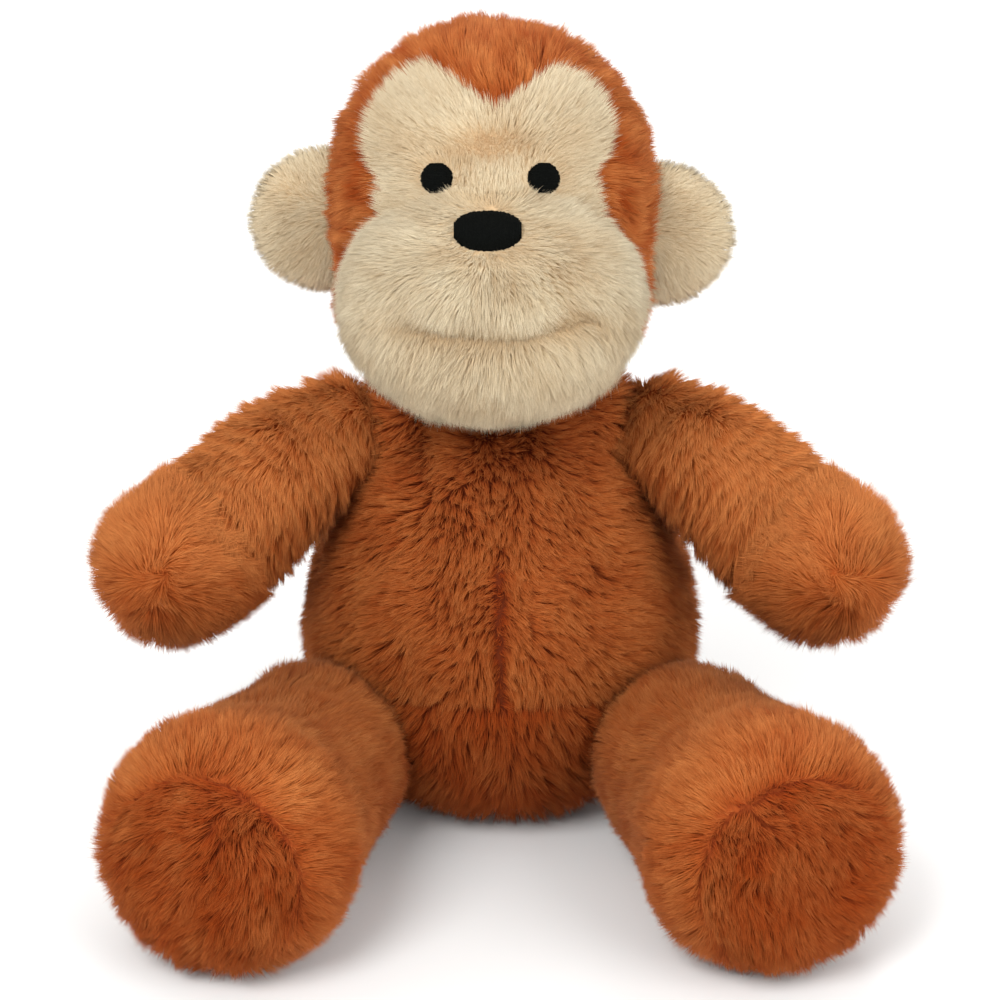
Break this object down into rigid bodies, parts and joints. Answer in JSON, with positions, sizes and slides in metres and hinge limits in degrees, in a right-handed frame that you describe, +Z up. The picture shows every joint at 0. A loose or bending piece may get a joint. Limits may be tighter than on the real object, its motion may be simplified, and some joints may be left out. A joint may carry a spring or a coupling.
{
  "type": "stuffed monkey",
  "caption": "Seated plush monkey in long brown fur with a cream face, round ears, soft arms and wide-set legs, each held by an elastic fabric seam.",
  "frame": {"origin": "middle of the flat seat that the toy sits on", "axes": "+Z up, the face looks along -Y, the toy's own left side is +X"},
  "size_m": [0.254, 0.2118, 0.2605],
  "materials": {
    "fur_brown": "matte",
    "fur_cream": "matte",
    "black_stitching": "satin",
    "seam_thread": "matte",
    "filling": "matte",
    "bag_cloth": "matte",
    "pellets": "satin"
  },
  "bodies": {
    "torso": {"torso_front_left": "fur_brown", "torso_front_right": "fur_brown", "torso_back_left": "fur_brown", "torso_back_right": "fur_brown", "seat_panel": "fur_brown", "torso_filling": "filling", "pellet_bag": "bag_cloth", "pellets": "pellets"},
    "neck_seam": {"neck_seam": "seam_thread"},
    "head": {"hood_left": "fur_brown", "hood_right": "fur_brown", "face_mask": "fur_cream", "muzzle": "fur_cream", "chin": "fur_cream", "head_filling": "filling", "muzzle_filling": "filling", "eye_left": "black_stitching", "eye_right": "black_stitching", "nose": "black_stitching"},
    "ear_left": {"ear_front_left": "fur_cream", "ear_back_left": "fur_cream", "ear_wadding_left": "filling"},
    "ear_right": {"ear_front_right": "fur_cream", "ear_back_right": "fur_cream", "ear_wadding_right": "filling"},
    "shoulder_seam_left": {"shoulder_seam_left": "seam_thread"},
    "arm_left": {"arm_top_left": "fur_brown", "arm_under_left": "fur_brown", "arm_filling_left": "filling"},
    "shoulder_seam_right": {"shoulder_seam_right": "seam_thread"},
    "arm_right": {"arm_top_right": "fur_brown", "arm_under_right": "fur_brown", "arm_filling_right": "filling"},
    "hip_seam_left": {"hip_seam_left": "seam_thread"},
    "leg_left": {"leg_top_left": "fur_brown", "leg_under_left": "fur_brown", "sole_left": "fur_brown", "leg_filling_left": "filling"},
    "hip_seam_right": {"hip_seam_right": "seam_thread"},
    "leg_right": {"leg_top_right": "fur_brown", "leg_under_right": "fur_brown", "sole_right": "fur_brown", "leg_filling_right": "filling"}
  },
  "joints": [
    {"name": "neck_turn", "type": "hinge", "parent": "torso", "child": "neck_seam", "pos_m": [0, 0, 0.146], "axis": [0, 0, 1], "range_deg": [-35, 35], "stiffness_Nm_per_rad": 0.4},
    {"name": "neck_nod", "type": "hinge", "parent": "neck_seam", "child": "head", "pos_m": [0, 0, 0.146], "axis": [1, 0, 0], "range_deg": [-15, 13], "stiffness_Nm_per_rad": 0.9},
    {"name": "ear_fold_left", "type": "hinge", "parent": "head", "child": "ear_left", "pos_m": [0.0525, 0.002, 0.193], "axis": [0, 0, 1], "range_deg": [-30, 30], "stiffness_Nm_per_rad": 0.012},
    {"name": "ear_fold_right", "type": "hinge", "parent": "head", "child": "ear_right", "pos_m": [-0.0525, 0.002, 0.193], "axis": [0, 0, -1], "range_deg": [-30, 30], "stiffness_Nm_per_rad": 0.012},
    {"name": "shoulder_swing_left", "type": "hinge", "parent": "torso", "child": "shoulder_seam_left", "pos_m": [0.05, -0.004, 0.125], "axis": [1, 0, 0], "range_deg": [-50, 25], "stiffness_Nm_per_rad": 0.15},
    {"name": "shoulder_raise_left", "type": "hinge", "parent": "shoulder_seam_left", "child": "arm_left", "pos_m": [0.05, -0.004, 0.125], "axis": [0, -1, 0], "range_deg": [-6, 37], "stiffness_Nm_per_rad": 0.15},
    {"name": "shoulder_swing_right", "type": "hinge", "parent": "torso", "child": "shoulder_seam_right", "pos_m": [-0.05, -0.004, 0.125], "axis": [1, 0, 0], "range_deg": [-50, 25], "stiffness_Nm_per_rad": 0.15},
    {"name": "shoulder_raise_right", "type": "hinge", "parent": "shoulder_seam_right", "child": "arm_right", "pos_m": [-0.05, -0.004, 0.125], "axis": [0, 1, 0], "range_deg": [-6, 37], "stiffness_Nm_per_rad": 0.15},
    {"name": "hip_lift_left", "type": "hinge", "parent": "torso", "child": "hip_seam_left", "pos_m": [0.054, -0.0405, 0.03], "axis": [-1, 0, 0], "range_deg": [-10, 25], "stiffness_Nm_per_rad": 0.35},
    {"name": "hip_splay_left", "type": "hinge", "parent": "hip_seam_left", "child": "leg_left", "pos_m": [0.054, -0.0405, 0.03], "axis": [0, 0, 1], "range_deg": [-12, 18], "stiffness_Nm_per_rad": 0.35},
    {"name": "hip_lift_right", "type": "hinge", "parent": "torso", "child": "hip_seam_right", "pos_m": [-0.054, -0.0405, 0.03], "axis": [-1, 0, 0], "range_deg": [-10, 25], "stiffness_Nm_per_rad": 0.35},
    {"name": "hip_splay_right", "type": "hinge", "parent": "hip_seam_right", "child": "leg_right", "pos_m": [-0.054, -0.0405, 0.03], "axis": [0, 0, -1], "range_deg": [-12, 18], "stiffness_Nm_per_rad": 0.35}
  ]
}
